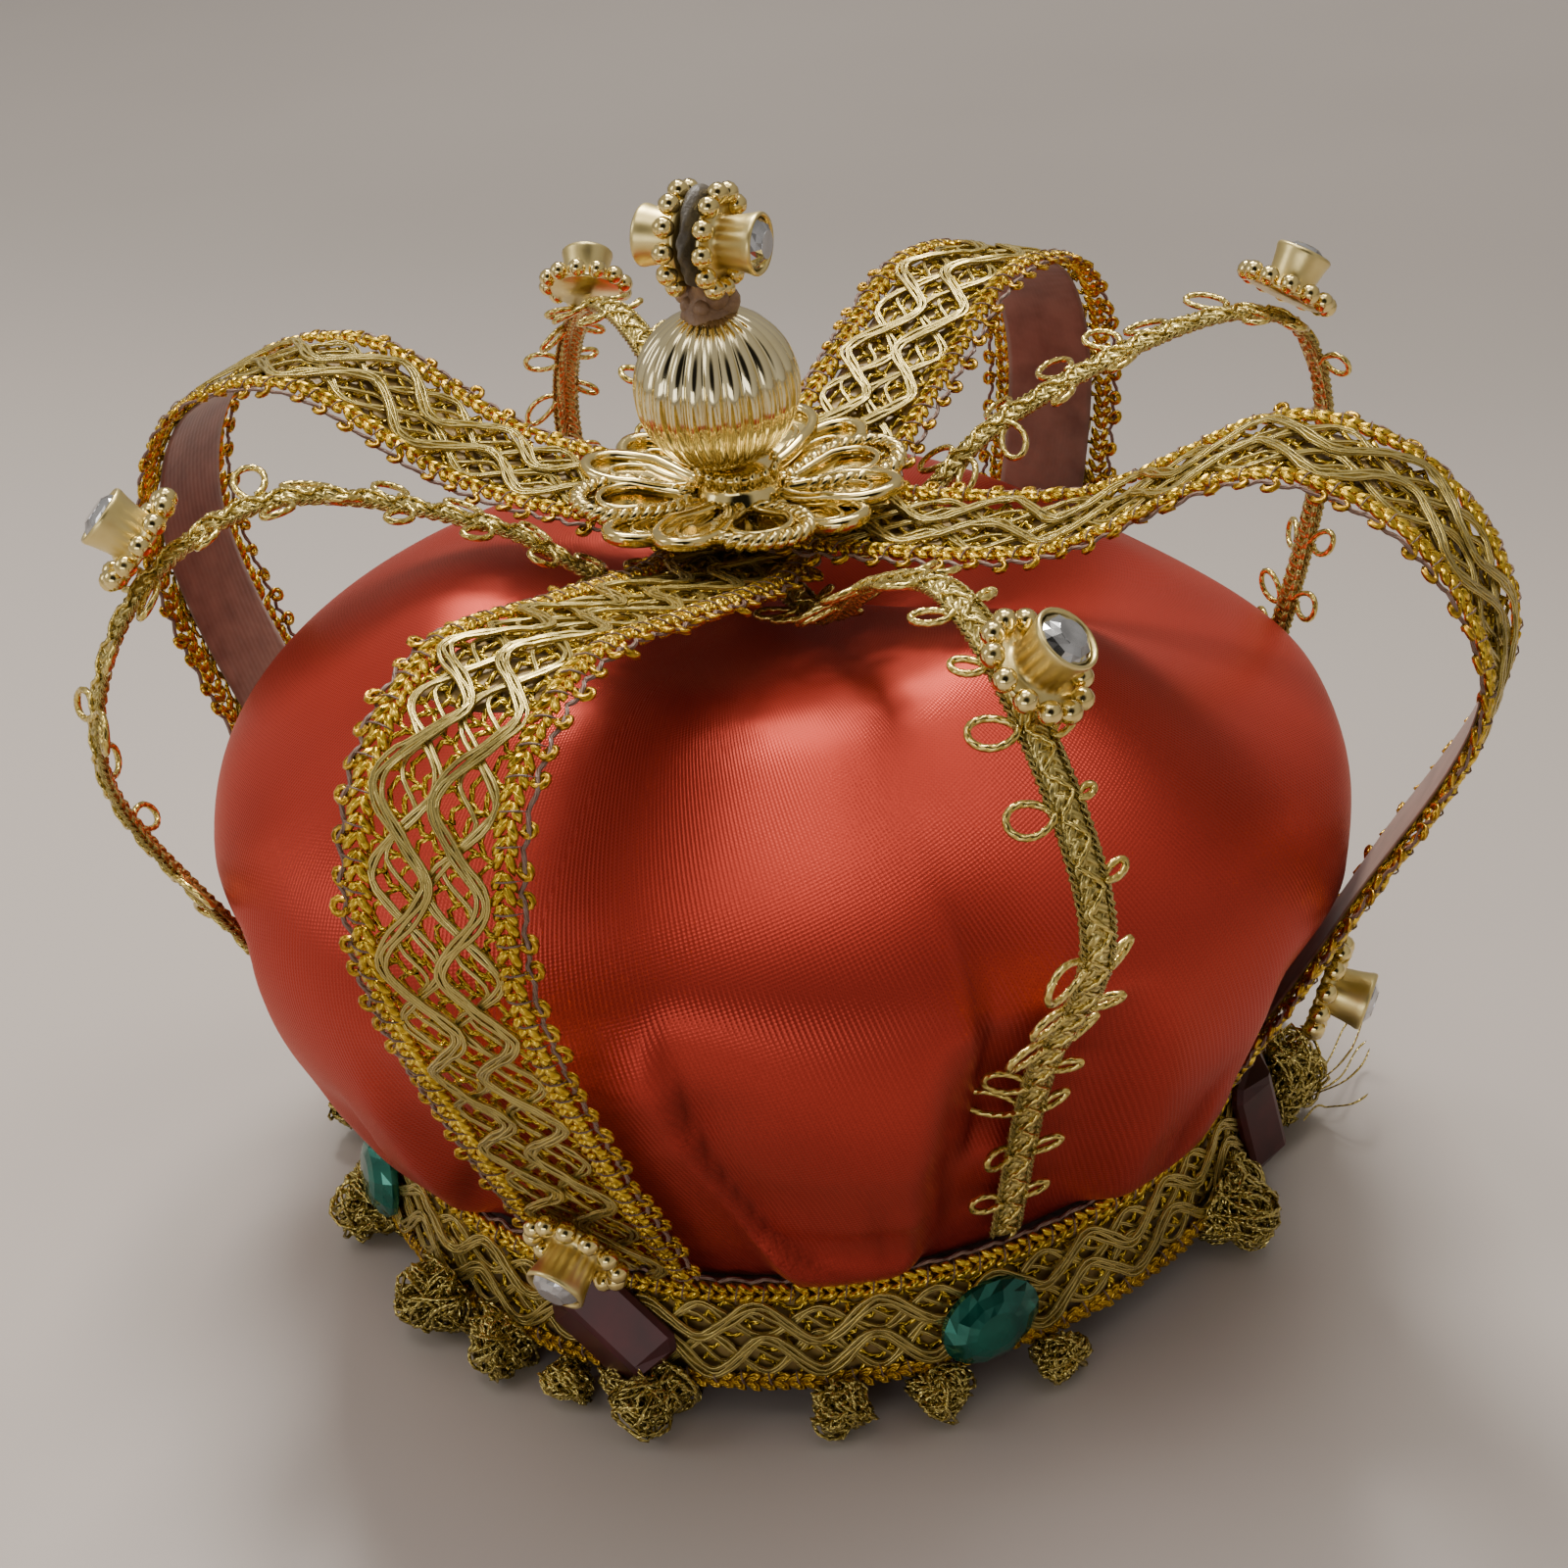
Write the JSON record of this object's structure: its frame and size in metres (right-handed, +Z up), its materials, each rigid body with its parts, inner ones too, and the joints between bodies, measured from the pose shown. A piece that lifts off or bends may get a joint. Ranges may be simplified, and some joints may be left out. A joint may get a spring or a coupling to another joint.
{
  "type": "crown hair clip",
  "caption": "Small costume crown on a hair clip: a stuffed satin dome in a gold braid band, under gold braid arches with stone settings, a flower and a ball on top.",
  "frame": {"origin": "on the table under the middle of the crown's overall box", "axes": "+Z up, the front wide arch faces -Y, the side arches lie along X"},
  "size_m": [0.1284, 0.1212, 0.095],
  "materials": {
    "satin": "red satin with a soft sheen",
    "braid_gold": "metallic gold braid",
    "gimp_gold": "pale gold wrapped cord",
    "tuft_thread": "curly gold metallic thread",
    "polished_gold": "polished pale gold plating",
    "clear_stone": "clear faceted, foil backed",
    "ruby_stone": "dark ruby acrylic, step cut",
    "emerald_stone": "deep green acrylic, faceted oval",
    "grey_glue": "set glue, dull",
    "clip_steel": "plated steel"
  },
  "bodies": {
    "root": {"satin_puff": "satin", "base_band": "braid_gold", "wide_strip_front": "braid_gold", "wide_strip_side": "braid_gold", "gimp_strip_front": "gimp_gold", "gimp_strip_side": "gimp_gold", "tuft_01": "tuft_thread", "tuft_02": "tuft_thread", "tuft_03": "tuft_thread", "tuft_04": "tuft_thread", "tuft_05": "tuft_thread", "tuft_06": "tuft_thread", "tuft_07": "tuft_thread", "tuft_08": "tuft_thread", "tuft_09": "tuft_thread", "tuft_10": "tuft_thread", "tuft_11": "tuft_thread", "tuft_12": "tuft_thread", "tuft_13": "tuft_thread", "tuft_14": "tuft_thread", "tuft_15": "tuft_thread", "tuft_16": "tuft_thread", "tuft_17": "tuft_thread", "tuft_18": "tuft_thread", "setting_front_right": "polished_gold", "setting_back_right": "polished_gold", "setting_back_left": "polished_gold", "setting_front_left": "polished_gold", "setting_front": "polished_gold", "setting_right": "polished_gold", "setting_back": "polished_gold", "setting_left": "polished_gold", "setting_finial_right": "polished_gold", "setting_finial_left": "polished_gold", "rhinestone_front_right": "clear_stone", "rhinestone_back_right": "clear_stone", "rhinestone_back_left": "clear_stone", "rhinestone_front_left": "clear_stone", "rhinestone_front": "clear_stone", "rhinestone_right": "clear_stone", "rhinestone_back": "clear_stone", "rhinestone_left": "clear_stone", "rhinestone_finial_right": "clear_stone", "rhinestone_finial_left": "clear_stone", "ruby_front": "ruby_stone", "ruby_right": "ruby_stone", "ruby_back": "ruby_stone", "ruby_left": "ruby_stone", "emerald_front_right": "emerald_stone", "emerald_back_right": "emerald_stone", "emerald_back_left": "emerald_stone", "emerald_front_left": "emerald_stone", "flower": "polished_gold", "fluted_ball": "polished_gold", "finial_glue": "grey_glue", "hair_clip": "clip_steel"}
  },
  "joints": []
}
